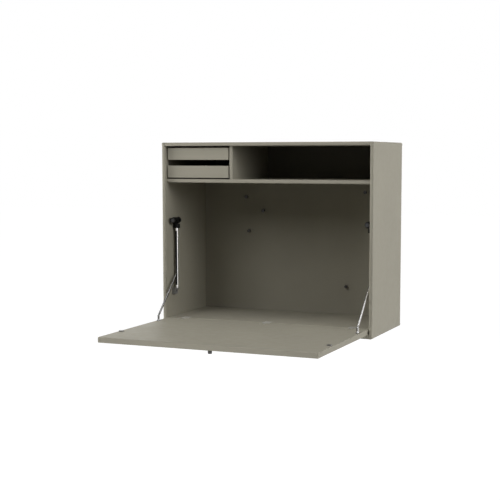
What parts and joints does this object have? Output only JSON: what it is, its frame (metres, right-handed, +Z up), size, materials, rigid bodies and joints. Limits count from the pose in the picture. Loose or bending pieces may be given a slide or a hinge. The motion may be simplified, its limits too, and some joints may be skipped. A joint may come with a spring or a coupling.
{
  "type": "fold down wall desk",
  "caption": "Wall-hung box desk in grey-green lacquer with a fold-down writing flap on chrome stays, an open bay and small drawers.",
  "frame": {"origin": "on the wall plane, below the middle of the carcass, at the level of its underside", "axes": "+X to the right seen from the front, +Y into the wall, +Z up"},
  "size_m": [0.696, 0.725, 0.5867],
  "materials": {
    "lacquer": "matt grey-green lacquer",
    "painted_steel": "matt grey-green lacquer",
    "dowel_wood": "raw beech",
    "zinc": "satin zinc",
    "magnet_black": "satin black",
    "screw_steel": "zinc plated",
    "chrome": "polished",
    "black_plastic": "moulded black",
    "slider_plastic": "moulded black",
    "catch_magnet": "ground grey",
    "dark_metal": "dark burnished"
  },
  "bodies": {
    "carcass": {"left_side": "lacquer", "right_side": "lacquer", "bottom_board": "lacquer", "shelf": "lacquer", "top_board": "lacquer", "divider": "lacquer", "joint_dowels": "dowel_wood", "inner_floor": "lacquer", "back_panel": "lacquer", "pin_board": "painted_steel", "wall_plates": "zinc", "back_magnets": "magnet_black", "hinge_floor_leaves": "zinc", "floor_leaf_screws": "screw_steel", "left_stay_tube": "chrome", "left_stay_bracket": "black_plastic", "left_catch_magnet": "catch_magnet", "left_stay_holder": "zinc", "right_stay_tube": "chrome", "right_stay_bracket": "black_plastic", "right_catch_magnet": "catch_magnet", "right_stay_holder": "zinc", "stay_screws": "screw_steel", "drawer_runners": "lacquer", "runner_screws": "screw_steel"},
    "flap": {"flap_panel": "lacquer", "hinge_flap_leaves": "painted_steel", "hinge_pins": "screw_steel", "flap_leaf_screws": "screw_steel", "flap_knob": "dark_metal", "knob_stud": "screw_steel", "strike_plates": "dark_metal", "strike_screws": "screw_steel", "left_stay_foot": "chrome", "left_foot_pin": "screw_steel", "right_stay_foot": "chrome", "right_foot_pin": "screw_steel"},
    "left_arm": {"left_stay_arm": "chrome", "left_slider_pin": "screw_steel"},
    "left_slider": {"left_slider": "slider_plastic"},
    "right_arm": {"right_stay_arm": "chrome", "right_slider_pin": "screw_steel"},
    "right_slider": {"right_slider": "slider_plastic"},
    "upper_drawer": {"upper_drawer_front": "lacquer", "upper_drawer_sides": "lacquer", "upper_drawer_back": "lacquer", "upper_drawer_bottom": "lacquer"},
    "lower_drawer": {"lower_drawer_front": "lacquer", "lower_drawer_sides": "lacquer", "lower_drawer_back": "lacquer", "lower_drawer_bottom": "lacquer"}
  },
  "joints": [
    {"name": "flap_fold", "type": "hinge", "parent": "carcass", "child": "flap", "pos_m": [0, -0.293, 0.0203], "axis": [-1, 0, 0], "range_deg": [0, 90]},
    {"name": "left_arm_turn", "type": "hinge", "parent": "flap", "child": "left_arm", "pos_m": [-0.326, -0.3734, 0.0443], "axis": [1, 0, 0], "range_deg": [0, 129]},
    {"name": "left_slider_turn", "type": "hinge", "parent": "left_arm", "child": "left_slider", "pos_m": [-0.326, -0.245, 0.16859], "axis": [-1, 0, 0], "range_deg": [0, 39]},
    {"name": "right_arm_turn", "type": "hinge", "parent": "flap", "child": "right_arm", "pos_m": [0.326, -0.3734, 0.0443], "axis": [1, 0, 0], "range_deg": [0, 129]},
    {"name": "right_slider_turn", "type": "hinge", "parent": "right_arm", "child": "right_slider", "pos_m": [0.326, -0.245, 0.16859], "axis": [-1, 0, 0], "range_deg": [0, 39]},
    {"name": "upper_drawer_slide", "type": "slide", "parent": "carcass", "child": "upper_drawer", "axis": [0, -1, 0], "range_m": [0, 0.18]},
    {"name": "lower_drawer_slide", "type": "slide", "parent": "carcass", "child": "lower_drawer", "axis": [0, -1, 0], "range_m": [0, 0.18]}
  ],
  "couplings": [
    {"joint": "left_arm_turn", "follows": "flap_fold", "ratio": 1.4246},
    {"joint": "left_slider_turn", "follows": "flap_fold", "ratio": 0.4246},
    {"joint": "right_arm_turn", "follows": "flap_fold", "ratio": 1.4246},
    {"joint": "right_slider_turn", "follows": "flap_fold", "ratio": 0.4246}
  ]
}
